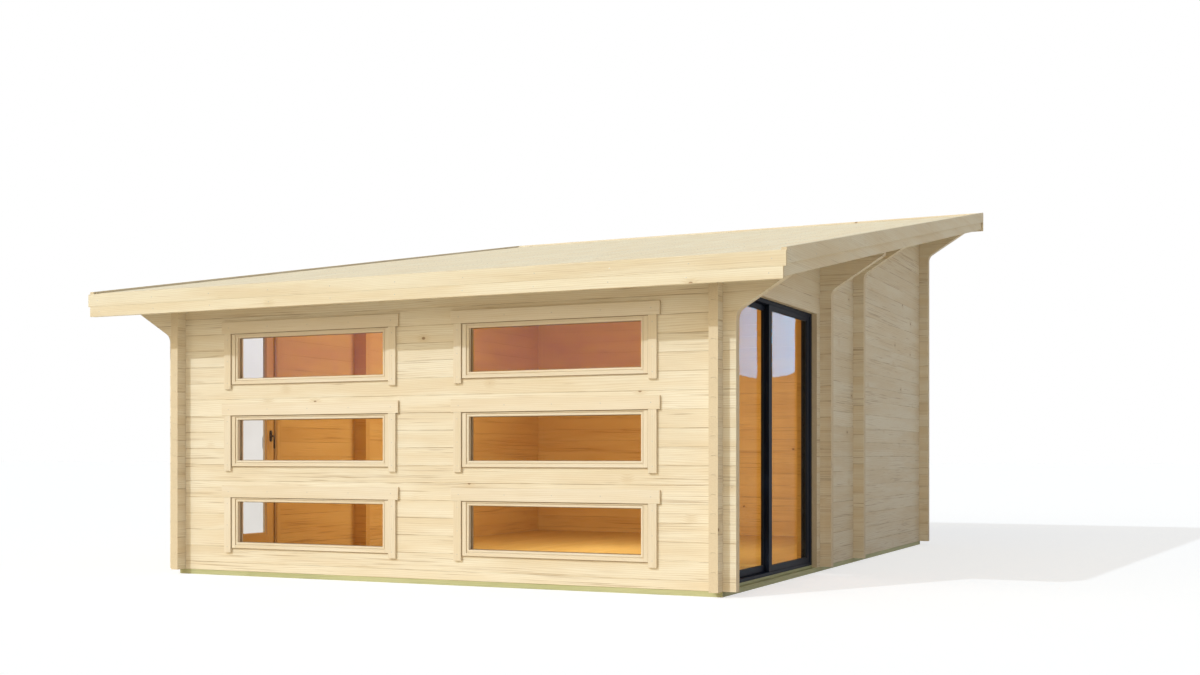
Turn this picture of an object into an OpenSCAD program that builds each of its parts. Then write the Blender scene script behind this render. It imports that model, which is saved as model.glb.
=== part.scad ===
// Log cabin with a single-pitch roof that is low at the front and high at the back.
// Notched, tongued logs cross at the corners and at two lines of short cross logs.
// The front looks to -Y, the sliding door is on +X, the hinged door on -X, +Z is up.
// The origin lies on the ground under the middle of the roof.

/* [Walls] */
// Length of the front wall over its outer faces
wall_l = 4929; // [4500:1:5600]
// Depth of the cabin over the outer faces of the front and back walls
wall_d = 6625; // [6000:1:7400]
// Thickness of a log
log_t = 70; // [60:1:80]
// Height of one course of logs
course = 137; // [130:1:145]
// Courses in the front wall above its half log
front_courses = 17; // [17:1:19]
// Courses in the back wall above its half log
back_courses = 26; // [24:1:28]
// How far the log ends stand past a crossing wall
log_end = 100; // [70:1:130]
// Chamfer along the edges of a log
chamfer = 2; // [1:0.5:6]
// Height of the tongue on top of a log
tongue_h = 8; // [5:0.5:12]
// Width of the tongue
tongue_w = 30; // [20:1:40]
// Room round a tongue in its groove
tongue_play = 1; // [0.5:0.5:2]
// Air between pieces that lie on each other
seat = 0.3; // [0.2:0.05:0.4]

/* [Cross logs] */
// Distance of the first line of cross logs behind the wide doorway
cross_after_door = 100; // [80:1:300]
// Distance from the first line of cross logs to the second
cross_space = 1130; // [900:1:1400]
// How far the cross logs stand into the room
cross_in = 140; // [100:1:180]
// Rise of the flared log ends under the roof for each unit they run out
flare_rise = 0.62; // [0.56:0.01:0.7]
// Radius where a flare grows out of the log ends below it
flare_r = 90; // [50:1:120]

/* [Base] */
// Height of the foundation beams
beam_h = 40; // [35:1:60]
// How far the foundation beams stand back from the wall faces
beam_inset = 5; // [0:1:12]
// Thickness of the floor boards
floor_t = 20; // [16:1:28]
// Gap round the floor, which lets the boards swell
floor_gap = 2; // [1:0.5:5]
// Width of a floor joist
joist_w = 60; // [45:1:80]
// Number of floor joists
joist_count = 7; // [5:1:9]

/* [Roof] */
// Overhang of the roof at the low front
front_over = 434; // [350:1:500]
// Overhang of the roof at the high back
back_over = 597; // [500:1:700]
// Overhang of the roof on each side
side_over = 600; // [540:1:660]
// Thickness of the roof boards
roof_t = 20; // [16:1:28]
// Thickness of the fascia boards and bargeboards
trim_t = 20; // [16:1:24]
// How far the bargeboards stand above the roof boards
barge_lip = 18; // [8:1:30]
// Height of the tall inner bargeboard
barge_h = 196; // [170:1:230]
// Height of the narrow outer bargeboard
barge_strip_h = 112; // [90:1:130]
// Height of the tall inner fascia board
fascia_h = 190; // [170:1:220]
// Height of the upper of the two outer fascia boards at the front
fascia_upper_h = 106; // [90:1:130]
// Height of a purlin
purlin_h = 130; // [110:1:140]
// Purlins in the bay in front of the cross lines, and as many behind them
purlins_per_bay = 2; // [1:1:3]

/* [Windows] */
// Width of the holes for the windows
window_w = 1540; // [1300:1:1600]
// Distance of each stack of windows from the middle of the front
window_x = 1115; // [1080:1:1150]
// Courses that one window takes
window_courses = 3; // [3:1:3]
// Courses from one window up to the next
window_pitch = 5; // [5:1:5]
// Width of the window frame beside the glass
window_stile = 50; // [40:1:60]
// Height of the window frame above and below the glass
window_rail = 35; // [30:1:45]
// How far the frame's face stands out from the wall
window_flange = 9; // [4:1:12]
// How far the frame's face laps over the wall at the sides
window_lap = 12; // [8:1:20]
// How far the frame's face hangs below the window hole
window_drip = 17; // [10:1:25]
// Width of the step round the glass
window_step = 24; // [16:1:28]
// Depth of the step behind the frame's face
window_step_in = 10; // [6:1:16]
// Depth of the glass behind the wall face
glass_set = 34; // [25:1:45]
// Thickness of the glass
glass_t = 8; // [6:1:12]

/* [Casing] */
// Width of an upright casing board
casing_w = 68; // [55:1:75]
// Thickness of the casing boards
casing_t = 20; // [16:1:26]
// Height of the casing head
casing_head = 100; // [80:1:120]
// How far the casing head stands past the uprights
casing_ear = 25; // [15:1:30]
// How far the uprights hang below the window frame
casing_foot = 35; // [20:1:45]
// How far the casing laps over the frame of the hinged door
casing_lap = 12; // [8:1:20]

/* [Sliding door] */
// Start of the doorway behind the front face
slide_y = 120; // [100:1:160]
// Width of the doorway
slide_w = 2270; // [2100:1:2700]
// Courses from the foundation to the head of both doorways
door_courses = 16; // [15:1:16]
// How far the frame stands back from the wall face
slide_set = 45; // [30:1:55]
// Depth of the frame
slide_depth = 82; // [80:1:110]
// Width of the frame's jambs
slide_face = 55; // [45:1:65]
// Height of the frame's head
slide_head = 32; // [26:1:60]
// Height of the frame's sill
slide_sill = 26; // [22:1:45]
// Height of the running rail on the sill
rail_h = 6; // [5:1:12]
// Thickness of a glazed panel
panel_t = 32; // [28:1:32]
// Width of the panel stiles
panel_stile = 76; // [60:1:90]
// Height of the panel top rails
panel_top = 38; // [32:1:80]
// Height of the panel bottom rails
panel_foot = 44; // [36:1:100]
// Room round a moving piece
run_gap = 6; // [5:0.5:8]

/* [Hinged door] */
// Start of the doorway behind the front face
hinged_y = 235; // [215:1:280]
// Width of the doorway
hinged_w = 1060; // [900:1:1100]
// Width of the frame's face
jamb_face = 50; // [45:1:60]
// Height of the threshold
threshold_h = 30; // [25:1:40]
// Thickness of the door leaf
leaf_t = 45; // [40:1:50]
// Width of the leaf's stiles
leaf_stile = 115; // [100:1:170]
// Height of the leaf's top rail
leaf_top = 62; // [55:1:130]
// Height of the leaf's bottom rail
leaf_foot = 208; // [160:1:260]
// Thickness of the stops that the leaf closes on
stop_t = 12; // [8:1:14]
// How far the stops stand into the doorway
stop_w = 14; // [12:1:18]
// Distance of the hinge pins from the wall face
pin_out = 11; // [10:0.5:14]
// Radius of a hinge knuckle
knuckle_r = 7; // [6:0.5:8]
// Height of a hinge
hinge_h = 120; // [90:1:160]
// Distance of the outer hinges from the leaf's ends
hinge_end = 180; // [120:1:260]

/* [Handles] */
// Height of the spindle of the turning handles above the ground
lever_z = 1190; // [950:1:1250]
// Distance of the spindle from the leaf's edge
lever_inset = 58; // [45:1:80]
// Length of the lever, which hangs down when the door is shut
lever_l = 128; // [90:1:150]
// How far the lever stands off the leaf
lever_out = 42; // [34:1:55]
// Radius of the lever
lever_r = 8; // [7:0.5:11]
// Height of the handle's back plate
plate_h = 106; // [80:1:140]
// Width of the handle's back plate
plate_w = 34; // [30:1:46]
// Thickness of the handle's back plate
plate_t = 8; // [5:1:10]
// Height of the middle of the pull bars above the ground
pull_z = 1150; // [950:1:1250]
// Height of the pull bars on the sliding panel
pull_h = 260; // [200:1:320]
// How far a pull bar stands off its panel
pull_out = 34; // [28:1:40]
// Radius of a pull bar
pull_r = 8; // [6:0.5:10]

/* [Hidden] */
$fn = 64;

log_colour = [0.93, 0.82, 0.62];
beam_colour = [0.62, 0.64, 0.46];
roof_colour = [0.91, 0.84, 0.68];
window_colour = [0.95, 0.87, 0.70];
metal_colour = [0.10, 0.12, 0.17];
glass_colour = [0.70, 0.80, 0.85, 0.4];
black_colour = [0.06, 0.06, 0.07];

// The front face of the front wall lies at y = 0 until the whole part is centred
centre_y = (front_over - wall_d - back_over) / 2;
side_x = wall_l / 2;
room_x = side_x - log_t;
back_y = wall_d - log_t;
first_z = beam_h + course / 2;
floor_z = beam_h + floor_t;
over = 50;
far = 2000;

// Roof: its underside passes the middle of the front wall's top and of the back wall's top
slope = (back_courses - front_courses) * course / (wall_d - log_t);
roof_v = roof_t * sqrt(1 + slope * slope);
board_x = side_x + side_over - 2 * trim_t;
board_y0 = 2 * trim_t - front_over;
board_y1 = wall_d + back_over - 2 * trim_t;
barge_x = board_x + trim_t;
strip_x = barge_x + seat + trim_t;
barge_y0 = board_y0 - trim_t;
barge_y1 = board_y1 + trim_t;
function roof_z(y) = first_z + front_courses * course + slope * (y - log_t / 2);

// Cross lines: the logs that run along X, at the y of their front faces
cross_1_y = slide_y + slide_w + cross_after_door;
cross_2_y = cross_1_y + cross_space;
lines = [0, cross_1_y, cross_2_y, back_y];
tip_h = 6;
// The top log of a line reaches the roof: it is under two courses high, and lacks at most this share of one
top_short = 0.1;
function line_top(y) = (roof_z(y) - first_z) / course;
function line_count(y) = floor(line_top(y) + top_short);
function flare_course(y) = line_count(y) - 3;
function course_z(k) = first_z + k * course;
flare_x = board_x - side_x - seat;

bays = [[0, cross_1_y], [cross_2_y, back_y]];
purlin_ys = [for (bay = bays) for (i = [1 : purlins_per_bay])
  bay[0] + (bay[1] - bay[0]) * i / (purlins_per_bay + 1)];

// Windows
window_rows = [0, 1, 2];
first_window = 1;
function hole_course(r) = first_window + r * window_pitch;
function hole_z(r) = course_z(hole_course(r));
function in_hole(k, r) = k >= hole_course(r) && k < hole_course(r) + window_courses;
hole_h = window_courses * course;

// Sliding door
door_z = beam_h + door_courses * course;
slide_in = side_x - slide_set - slide_depth;
slide_out = side_x - slide_set;
slide_y0 = slide_y + seat;
slide_y1 = slide_y + slide_w - seat;
pane_y0 = slide_y0 + slide_face + seat;
pane_y1 = slide_y1 - slide_face - seat;
slide_z0 = floor_z + seat;
sill_z = slide_z0 + slide_sill;
head_z = door_z - seat - slide_head;
meet_y = (pane_y0 + pane_y1) / 2;
panel_room = (slide_depth - 2 * panel_t) / 3;
fixed_x = slide_out - panel_room - panel_t;
moving_x = slide_in + panel_room;

// Hinged door
// The leaf's inner corner swings out a little past its place at rest
swing_room = pow(leaf_t + pin_out, 2) / (2 * (hinged_w - 2 * jamb_face - 2 * run_gap));
leaf_y0 = hinged_y + jamb_face + run_gap;
leaf_y1 = hinged_y + hinged_w - jamb_face - run_gap - swing_room;
leaf_z0 = beam_h + threshold_h + run_gap;
leaf_z1 = door_z - seat - jamb_face - run_gap;
pin_x = -side_x - pin_out;
pin_y = leaf_y0 - run_gap / 2;
hinge_zs = [leaf_z0 + hinge_end, (leaf_z0 + leaf_z1) / 2, leaf_z1 - hinge_end - hinge_h];
hinge_plate_w = 34;
hinge_plate_t = 5;

module centred() translate([0, centre_y, 0]) children();

module block(x0, x1, y0, y1, z0, z1) translate([x0, y0, z0]) cube([x1 - x0, y1 - y0, z1 - z0]);

// Section of a log: chamfered edges, a tongue on top and a groove below
module log_section(h, groove, tongue) {
  half = log_t / 2;
  slot = tongue_w / 2 + tongue_play;
  slot_h = tongue_h + tongue_play;
  crest = tongue_w / 2;
  below = groove ? [[-slot, 0], [-slot, slot_h], [slot, slot_h], [slot, 0]] : [];
  above = tongue ? [[crest, h], [crest, h + tongue_h], [-crest, h + tongue_h], [-crest, h]] : [];
  polygon(concat([[chamfer - half, 0]], below, [[half - chamfer, 0], [half, chamfer], [half, h - chamfer],
    [half - chamfer, h]], above, [[chamfer - half, h], [-half, h - chamfer], [-half, chamfer]]));
}

module along_x(x0, x1) translate([x0, 0, 0]) rotate([90, 0, 90]) linear_extrude(x1 - x0) children();

module along_y(y0, y1) translate([0, y1, 0]) rotate([90, 0, 0]) linear_extrude(y1 - y0) children();

// Everything above the underside of the roof boards
module above_roof() along_x(-far * 2, far * 2)
  polygon([[-far, roof_z(-far) - seat], [wall_d + far, roof_z(wall_d + far) - seat],
    [wall_d + far, roof_z(wall_d + far) + far], [-far, roof_z(wall_d + far) + far]]);

// Half laps: a log keeps the middle half of its height where it crosses another.
// A tall top log also keeps what lies above the next log across, from high up.
module lap(x0, x1, y0, y1, z, high) {
  block(x0 - seat, x1 + seat, y0 - seat, y1 + seat, z - course, z + course / 4 + seat / 2);
  block(x0 - seat, x1 + seat, y0 - seat, y1 + seat, z + course * 3 / 4 - seat / 2, high);
}

// The air beside and below a flare on one end: s is -1 on the left and 1 on the right
module flare_air(s, y, z) {
  run = flare_x - log_end + over;
  rise = flare_rise * run;
  turn = atan(flare_rise);
  reach = flare_r / tan((90 + turn) / 2);
  translate([s * (side_x + log_end), 0, z]) along_y(y - over, y + log_t + over) difference() {
    polygon([[0, -2 * course], [0, 0], [s * run, rise], [s * run, -2 * course]]);
    difference() {
      polygon([[0, -reach], [0, 0], [s * reach * cos(turn), reach * sin(turn)]]);
      translate([s * flare_r, -reach]) circle(flare_r);
    }
  }
}

// One log along X in course k of the line at y; course -1 is the half log at the bottom
module x_log(k, y, x0, x1) {
  last = line_count(y) - 1;
  z = course_z(k);
  low = k < 0 ? beam_h + seat : z + seat / 2;
  high = k == last ? z + 2 * course : z + course - seat / 2;
  notch = k == last ? z + course * 5 / 4 + seat / 2 : z + 2 * course;
  difference() {
    translate([0, y + log_t / 2, low]) along_x(x0, x1) log_section(high - low, k >= 0, k < last);
    for (s = [-1, 1]) {
      mid = s * (side_x - log_t / 2);
      lap(mid - log_t / 2, mid + log_t / 2, y - over, y + log_t + over, z, notch);
      if (k >= flare_course(y) - 1) flare_air(s, y, course_z(flare_course(y)));
    }
    if (k == last) above_roof();
  }
}

function log_reach(k, y) = side_x + (k >= flare_course(y) - 1 ? flare_x : log_end);

// Short cross logs through one side wall, up to the beam that spans the room
module cross_logs(s, y) for (k = [-1 : flare_course(y) + 1]) {
  inner = s * (room_x - cross_in);
  outer = s * log_reach(k, y);
  x_log(k, y, min(inner, outer), max(inner, outer));
}

module cross_beam(y) for (k = [flare_course(y) + 2 : line_count(y) - 1])
  x_log(k, y, -log_reach(k, y), log_reach(k, y));

module purlin_space(y, gap) block(-board_x + seat, board_x - seat, y - gap, y + log_t + gap,
  roof_z(y) - purlin_h - gap, roof_z(y) + far);

// A side wall: s is -1 on the left and 1 on the right
module y_wall(s) {
  x = s * (side_x - log_t / 2);
  end_y = wall_d + log_end;
  count = ceil((roof_z(end_y) - tip_h - beam_h) / course);
  for (k = [0 : count - 1]) {
    z = beam_h + k * course;
    tip_y = (z + tip_h - roof_z(0)) / slope;
    difference() {
      translate([x, 0, z + seat / 2]) along_y(max(-log_end, tip_y), end_y)
        log_section(course - seat, k > 0, k < count - 1);
      for (y = lines) lap(x - log_t, x + log_t, y, y + log_t, z, z + 2 * course);
      for (y = purlin_ys) purlin_space(y, seat);
      above_roof();
      door = s > 0 ? [slide_y, slide_y + slide_w] : [hinged_y, hinged_y + hinged_w];
      if (k < door_courses) block(x - log_t, x + log_t, door[0], door[1], 0, z + 2 * course);
    }
  }
}

// Four bars round an opening: two uprights, then the head and foot between them
module ring_bars(x0, x1, y0, y1, z0, z1, side, head, foot) {
  block(x0, x1, y0, y0 + side, z0, z1);
  block(x0, x1, y1 - side, y1, z0, z1);
  block(x0, x1, y0 + side + seat, y1 - side - seat, z1 - head, z1);
  block(x0, x1, y0 + side + seat, y1 - side - seat, z0, z0 + foot);
}

// Base
module x_beam(y) color(beam_colour)
  block(beam_inset - side_x, side_x - beam_inset, y, y + log_t - beam_inset, 0, beam_h);

module y_beam(x) color(beam_colour) block(x, x + log_t - beam_inset, log_t + seat, back_y - seat, 0, beam_h);

module front_foundation_beam() x_beam(beam_inset);

module back_foundation_beam() x_beam(back_y);

module left_foundation_beam() y_beam(beam_inset - side_x);

module right_foundation_beam() y_beam(room_x);

module floor_joists() color(beam_colour) for (i = [1 : joist_count]) {
  y = log_t + (back_y - log_t) * i / (joist_count + 1) - joist_w / 2;
  block(seat - room_x, room_x - seat, y, y + joist_w, 0, beam_h);
}

// The floor runs out under the sliding door's frame and leaves the cross logs free
module floor_boards() color(log_colour) difference() {
  union() {
    block(floor_gap - room_x, room_x - floor_gap, log_t + floor_gap, back_y - floor_gap,
      beam_h + seat, floor_z);
    block(room_x - over, slide_out, slide_y0, slide_y1, beam_h + seat, floor_z);
  }
  for (y = [cross_1_y, cross_2_y]) for (s = [-1, 1]) {
    edge = s * (room_x - cross_in - floor_gap);
    block(min(edge, s * side_x), max(edge, s * side_x), y - floor_gap, y + log_t + floor_gap,
      0, floor_z + over);
  }
}

// Walls
// A hole goes on up through the tongue of the logs that it cuts short
module window_hole(s, r, k) block(s * window_x - window_w / 2, s * window_x + window_w / 2,
  -over, log_t + over, hole_z(r), hole_z(r) + hole_h + (in_hole(k, r) ? over : 0));

module front_wall() color(log_colour) for (k = [-1 : line_count(0) - 1]) difference() {
  x_log(k, 0, -log_reach(k, 0), log_reach(k, 0));
  for (s = [-1, 1]) for (r = window_rows) window_hole(s, r, k);
}

module back_wall() color(log_colour) for (k = [-1 : line_count(back_y) - 1])
  x_log(k, back_y, -log_reach(k, back_y), log_reach(k, back_y));

module left_wall() color(log_colour) y_wall(-1);

module right_wall() color(log_colour) y_wall(1);

module left_front_cross_logs() color(log_colour) cross_logs(-1, cross_1_y);

module left_rear_cross_logs() color(log_colour) cross_logs(-1, cross_2_y);

module right_front_cross_logs() color(log_colour) cross_logs(1, cross_1_y);

module right_rear_cross_logs() color(log_colour) cross_logs(1, cross_2_y);

module front_cross_beam() color(log_colour) cross_beam(cross_1_y);

module rear_cross_beam() color(log_colour) cross_beam(cross_2_y);

module purlins() color(log_colour) for (y = purlin_ys) difference() {
  purlin_space(y, 0);
  above_roof();
}

// Roof
module sloped(x0, x1, y0, y1, low, high) along_x(x0, x1)
  polygon([[y0, roof_z(y0) + low], [y1, roof_z(y1) + low], [y1, roof_z(y1) + high], [y0, roof_z(y0) + high]]);

module roof_boards() color(roof_colour)
  sloped(seat - board_x, board_x - seat, board_y0 + seat, board_y1 - seat, 0, roof_v);

// A board across the front or the back; reach is half its length
module fascia(reach, y, low, high) color(roof_colour) block(-reach, reach, y, y + trim_t, low, high);

front_fascia_z = roof_z(-front_over) + roof_v;
back_fascia_z = roof_z(board_y1) + roof_v;

module front_fascia() fascia(board_x - seat, barge_y0, front_fascia_z - fascia_h, front_fascia_z);

// Two outer boards, one above the other: each covers the ends of the bargeboards behind it
module front_fascia_strip() {
  joint = front_fascia_z - fascia_upper_h;
  fascia(strip_x, barge_y0 - seat - trim_t, joint, front_fascia_z);
  fascia(barge_x, barge_y0 - seat - trim_t, front_fascia_z - fascia_h, joint - seat);
}

module back_fascia() fascia(board_x - seat, board_y1, back_fascia_z - fascia_h, back_fascia_z);

// The outer board at the back is as high as the bargeboards' lip
module back_fascia_strip()
  fascia(strip_x, barge_y1 + seat, back_fascia_z - fascia_h, roof_z(barge_y1) + roof_v + barge_lip);

// Bargeboards end behind the outer fascia boards
module barge(s, inner, h) color(roof_colour) {
  top = roof_v + barge_lip;
  sloped(s > 0 ? inner : -inner - trim_t, s > 0 ? inner + trim_t : -inner, barge_y0, barge_y1, top - h, top);
}

module left_bargeboard() barge(-1, board_x, barge_h);

module left_bargeboard_strip() barge(-1, barge_x + seat, barge_strip_h);

module right_bargeboard() barge(1, board_x, barge_h);

module right_bargeboard_strip() barge(1, barge_x + seat, barge_strip_h);

// Windows
// A frame's face stands out from the wall, and a step runs round the glass
module window_frame(x, z) {
  half = window_w / 2 - seat;
  top = z + hole_h - seat;
  bottom = z + seat;
  drip = z - window_drip;
  glass = half - window_stile;
  face = glass + window_step;
  for (s = [-1, 1]) {
    edges = [for (reach = [glass, face, half, half + window_lap]) x + s * reach];
    block(min(edges[0], edges[2]), max(edges[0], edges[2]), window_step_in - window_flange, log_t,
      bottom, top);
    block(min(edges[1], edges[2]), max(edges[1], edges[2]), -window_flange, log_t, bottom, top);
    block(min(edges[1], edges[3]), max(edges[1], edges[3]), -window_flange, -seat, drip, top);
  }
  for (upper = [true, false]) {
    low = upper ? top - window_rail : bottom;
    face_z = upper ? [low + window_step, top] : [drip, low + window_rail - window_step];
    block(x - glass + seat, x + glass - seat, window_step_in - window_flange, log_t, low, low + window_rail);
    block(x - face + seat, x + face - seat, -window_flange, -seat, face_z[0], face_z[1]);
    block(x - glass + seat, x + glass - seat, -window_flange, log_t, max(face_z[0], bottom), face_z[1]);
  }
}

module window_frames(s) color(window_colour) for (r = window_rows) window_frame(s * window_x, hole_z(r));

module window_glass(s) color(glass_colour) for (r = window_rows) {
  half = window_w / 2 - window_stile - 2 * seat;
  z0 = hole_z(r) + window_rail + 2 * seat;
  z1 = hole_z(r) + hole_h - window_rail - 2 * seat;
  block(s * window_x - half, s * window_x + half, glass_set, glass_set + glass_t, z0, z1);
}

module window_casing(s) color(window_colour) for (r = window_rows) {
  x = s * window_x;
  inner = window_w / 2 + window_lap;
  outer = inner + casing_w;
  top = hole_z(r) + hole_h + seat;
  for (e = [-1, 1]) block(x + (e > 0 ? inner : -outer), x + (e > 0 ? outer : -inner),
    -casing_t - seat, -seat, hole_z(r) - window_drip - casing_foot, top - seat);
  block(x - outer - casing_ear, x + outer + casing_ear, -casing_t - seat, -seat, top, top + casing_head);
}

module left_window_frames() window_frames(-1);

module right_window_frames() window_frames(1);

module left_window_glass() window_glass(-1);

module right_window_glass() window_glass(1);

module left_window_casing() window_casing(-1);

module right_window_casing() window_casing(1);

// Sliding door: the rear panel is fixed in the outer track, the front panel runs behind it
module sliding_door_frame() color(metal_colour) {
  ring_bars(slide_in, slide_out, slide_y0, slide_y1, slide_z0, door_z - seat, slide_face, slide_head,
    slide_sill);
  rail_x = moving_x + panel_t / 2;
  block(rail_x - rail_h / 2, rail_x + rail_h / 2, pane_y0, pane_y1, sill_z - seat, sill_z + rail_h);
}

module panel_bars(x, y0, y1, z0, z1)
  ring_bars(x, x + panel_t, y0, y1, z0, z1, panel_stile, panel_top, panel_foot);

module panel_pane(x, y0, y1, z0, z1) {
  mid = x + panel_t / 2;
  block(mid - glass_t / 2, mid + glass_t / 2, y0 + panel_stile + seat, y1 - panel_stile - seat,
    z0 + panel_foot + seat, z1 - panel_top - seat);
}

fixed_span = [meet_y - panel_stile / 2, pane_y1];
fixed_lift = [sill_z + seat, head_z - seat];
moving_span = [pane_y0 + run_gap, meet_y + panel_stile / 2];
moving_lift = [sill_z + rail_h + seat, head_z - run_gap];

module fixed_panel() color(metal_colour)
  panel_bars(fixed_x, fixed_span[0], fixed_span[1], fixed_lift[0], fixed_lift[1]);

module fixed_panel_glass() color(glass_colour)
  panel_pane(fixed_x, fixed_span[0], fixed_span[1], fixed_lift[0], fixed_lift[1]);

module sliding_panel() color(metal_colour)
  panel_bars(moving_x, moving_span[0], moving_span[1], moving_lift[0], moving_lift[1]);

module sliding_panel_glass() color(glass_colour)
  panel_pane(moving_x, moving_span[0], moving_span[1], moving_lift[0], moving_lift[1]);

// A round pull bar on two posts, standing off the face at x in direction s
module pull_bar(x, s) {
  y = moving_span[0] + panel_stile / 2;
  z = pull_z - pull_h / 2;
  bar_x = x + s * (pull_out - pull_r);
  translate([bar_x, y, z]) cylinder(h = pull_h, r = pull_r);
  post = pull_out - pull_r - seat;
  for (e = [pull_h / 6, pull_h * 5 / 6])
    translate([min(x + s * seat, bar_x), y, z + e]) rotate([0, 90, 0]) cylinder(h = post, r = pull_r * 0.8);
}

module sliding_panel_handles() color(metal_colour) {
  pull_bar(moving_x, -1);
  pull_bar(moving_x + panel_t, 1);
}

// Hinged door on the left wall, opening outwards
module entrance_frame() color(window_colour) {
  y0 = hinged_y + seat;
  y1 = hinged_y + hinged_w - seat;
  ring_bars(-side_x, -room_x, y0, y1, beam_h + seat, door_z - seat, jamb_face - seat, jamb_face,
    threshold_h - seat);
  x0 = -side_x + leaf_t + run_gap;
  stop_z = door_z - seat - jamb_face - seat;
  inner0 = hinged_y + jamb_face + seat;
  inner1 = hinged_y + hinged_w - jamb_face - seat;
  block(x0, x0 + stop_t, inner0, inner0 + stop_w, beam_h + threshold_h + seat, stop_z);
  block(x0, x0 + stop_t, inner1 - stop_w, inner1, beam_h + threshold_h + seat, stop_z);
  block(x0, x0 + stop_t, inner0 + stop_w + seat, inner1 - stop_w - seat, stop_z - stop_w, stop_z);
}

module entrance_casing() color(window_colour) {
  x = -side_x - seat;
  first_y = hinged_y + casing_lap - casing_w;
  last_y = hinged_y + hinged_w - casing_lap;
  head = door_z - casing_lap;
  for (y = [first_y, last_y]) block(x - casing_t, x, y, y + casing_w, beam_h + seat, head);
  block(x - casing_t, x, first_y - casing_ear, last_y + casing_w + casing_ear,
    head + seat, head + casing_head);
}

module entrance_leaf() color(window_colour)
  ring_bars(-side_x, -side_x + leaf_t, leaf_y0, leaf_y1, leaf_z0, leaf_z1, leaf_stile, leaf_top, leaf_foot);

module entrance_glass() color(glass_colour) {
  mid = -side_x + leaf_t / 2;
  block(mid - glass_t / 2, mid + glass_t / 2, leaf_y0 + leaf_stile + seat, leaf_y1 - leaf_stile - seat,
    leaf_z0 + leaf_foot + seat, leaf_z1 - leaf_top - seat);
}

// A plate with round ends on the face at x, and a lever that stands off in direction s and hangs down
module lever_set(x, s) {
  y = leaf_y1 - lever_inset;
  near = x + s * seat;
  plate_x = min(near, near + s * plate_t);
  straight = (plate_h - plate_w) / 2;
  block(plate_x, plate_x + plate_t, y - plate_w / 2, y + plate_w / 2, lever_z - straight, lever_z + straight);
  for (e = [-1, 1]) translate([plate_x, y, lever_z + e * straight]) rotate([0, 90, 0])
    cylinder(h = plate_t, r = plate_w / 2);
  far_x = near + s * lever_out;
  translate([min(near, far_x), y, lever_z]) rotate([0, 90, 0]) cylinder(h = lever_out, r = lever_r);
  translate([far_x, y, lever_z + lever_r - lever_l]) cylinder(h = lever_l, r = lever_r);
}

module entrance_handles() color(black_colour) {
  lever_set(-side_x, -1);
  lever_set(-side_x + leaf_t, 1);
}

// Hinge halves: the frame's knuckle below, the leaf's knuckle above, each with its plate
module hinge_half(z, h, s) {
  translate([pin_x, pin_y, z]) cylinder(h = h, r = knuckle_r);
  y = pin_y + s * hinge_plate_w;
  leaf_side = pin_y + s * knuckle_r;
  block(pin_x, -side_x - seat, min(pin_y, leaf_side), max(pin_y, leaf_side), z, z + h);
  block(-side_x - seat - hinge_plate_t, -side_x - seat, min(pin_y, y), max(pin_y, y), z, z + h);
}

module entrance_frame_hinges() color(black_colour)
  for (z = hinge_zs) hinge_half(z, hinge_h / 2 - seat, -1);

module entrance_leaf_hinges() color(black_colour)
  for (z = hinge_zs) hinge_half(z + hinge_h / 2, hinge_h / 2, 1);

centred() front_foundation_beam();
centred() back_foundation_beam();
centred() left_foundation_beam();
centred() right_foundation_beam();
centred() floor_joists();
centred() floor_boards();
centred() front_wall();
centred() back_wall();
centred() left_wall();
centred() right_wall();
centred() left_front_cross_logs();
centred() left_rear_cross_logs();
centred() right_front_cross_logs();
centred() right_rear_cross_logs();
centred() front_cross_beam();
centred() rear_cross_beam();
centred() purlins();
centred() roof_boards();
centred() front_fascia();
centred() front_fascia_strip();
centred() back_fascia();
centred() back_fascia_strip();
centred() left_bargeboard();
centred() left_bargeboard_strip();
centred() right_bargeboard();
centred() right_bargeboard_strip();
centred() left_window_frames();
centred() right_window_frames();
centred() left_window_glass();
centred() right_window_glass();
centred() left_window_casing();
centred() right_window_casing();
centred() sliding_door_frame();
centred() fixed_panel();
centred() fixed_panel_glass();
centred() sliding_panel();
centred() sliding_panel_glass();
centred() sliding_panel_handles();
centred() entrance_frame();
centred() entrance_casing();
centred() entrance_leaf();
centred() entrance_glass();
centred() entrance_handles();
centred() entrance_frame_hinges();
centred() entrance_leaf_hinges();
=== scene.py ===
"""Log cabin with a single-pitch roof: finishes, boards, glazing beads, fittings, light and camera."""
import math
import random

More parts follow.
